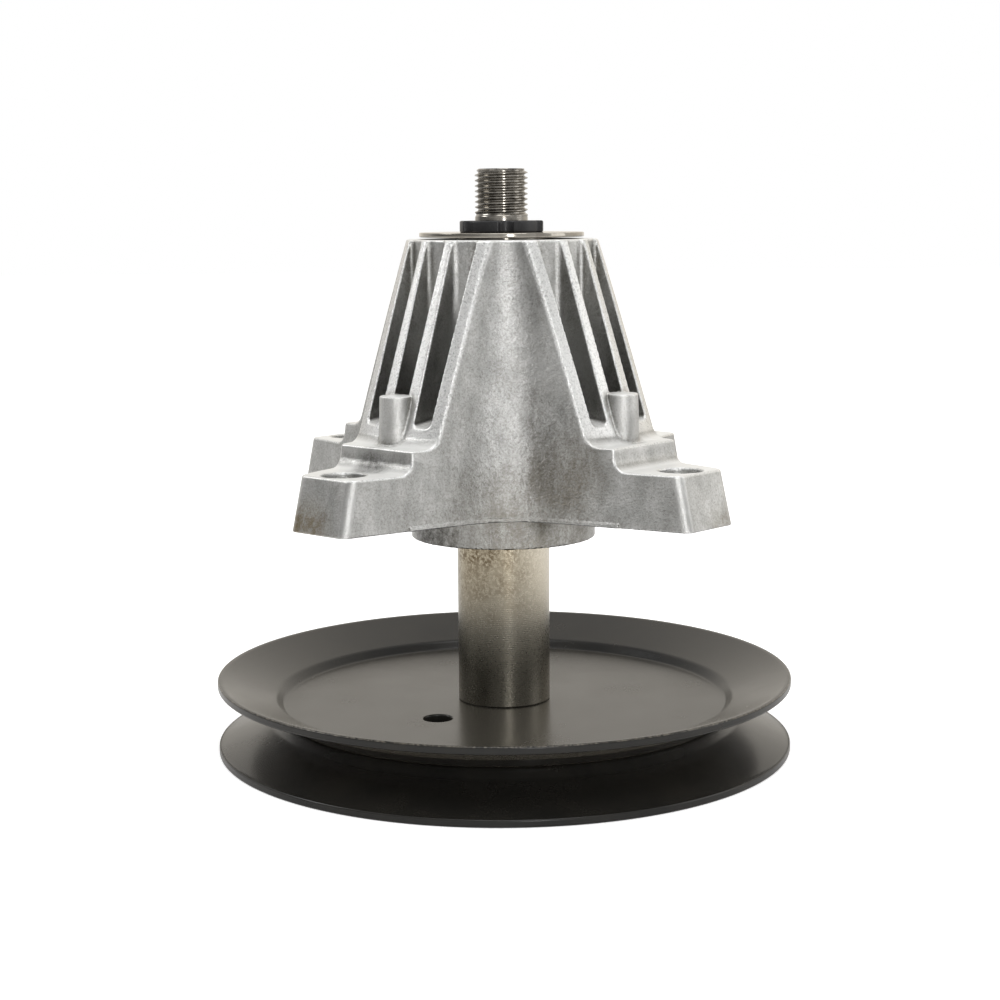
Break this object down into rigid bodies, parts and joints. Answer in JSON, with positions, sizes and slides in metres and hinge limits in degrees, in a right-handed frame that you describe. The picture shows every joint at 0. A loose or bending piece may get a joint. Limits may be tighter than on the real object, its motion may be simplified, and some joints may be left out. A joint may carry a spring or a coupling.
{
  "type": "mower deck spindle",
  "caption": "Mower deck spindle: ribbed cast housing with bolted ears, shaft on sealed bearings, star and threaded stud for the blade, spacer tube and pressed belt pulley.",
  "frame": {"origin": "on the spindle axis, in the plane of the lower pulley rim that it stands on", "axes": "+Z along the spindle axis towards the blade stud, X and Y between the housing's four ears"},
  "size_m": [0.1588, 0.1588, 0.1581],
  "materials": {
    "cast_aluminium": "as cast, satin, mottled",
    "turned_steel": "turned, bright",
    "tube_steel": "drawn tube, lightly stained",
    "black_paint": "satin black paint",
    "plated_steel": "zinc plated",
    "bearing_steel": "ground, polished",
    "cage_polymer": "moulded, matte",
    "seal_rubber": "moulded rubber, matte"
  },
  "bodies": {
    "housing": {"spindle_housing": "cast_aluminium", "blade_bearing_outer_ring": "bearing_steel", "blade_bearing_outer_seal": "seal_rubber", "blade_bearing_inner_seal": "seal_rubber", "pulley_bearing_outer_ring": "bearing_steel", "pulley_bearing_outer_seal": "seal_rubber", "pulley_bearing_inner_seal": "seal_rubber"},
    "rotor": {"spindle_shaft": "turned_steel", "blade_washer": "turned_steel", "drive_spacer": "tube_steel", "inner_spacer": "tube_steel", "pulley_upper_half": "black_paint", "pulley_lower_half": "black_paint", "pulley_nut": "plated_steel", "blade_bearing_inner_ring": "bearing_steel", "pulley_bearing_inner_ring": "bearing_steel"},
    "blade_cage": {"blade_bearing_cage": "cage_polymer", "blade_bearing_balls": "bearing_steel"},
    "pulley_cage": {"pulley_bearing_cage": "cage_polymer", "pulley_bearing_balls": "bearing_steel"}
  },
  "joints": [
    {"name": "rotor_spin", "type": "hinge", "parent": "housing", "child": "rotor", "pos_m": [0, 0, 0.1], "axis": [0, 0, 1], "continuous": true},
    {"name": "blade_cage_spin", "type": "hinge", "parent": "housing", "child": "blade_cage", "pos_m": [0, 0, 0.133], "axis": [0, 0, 1], "continuous": true},
    {"name": "pulley_cage_spin", "type": "hinge", "parent": "housing", "child": "pulley_cage", "pos_m": [0, 0, 0.0653], "axis": [0, 0, 1], "continuous": true}
  ],
  "couplings": [
    {"joint": "blade_cage_spin", "follows": "rotor_spin", "ratio": 0.38327},
    {"joint": "pulley_cage_spin", "follows": "rotor_spin", "ratio": 0.38327}
  ]
}
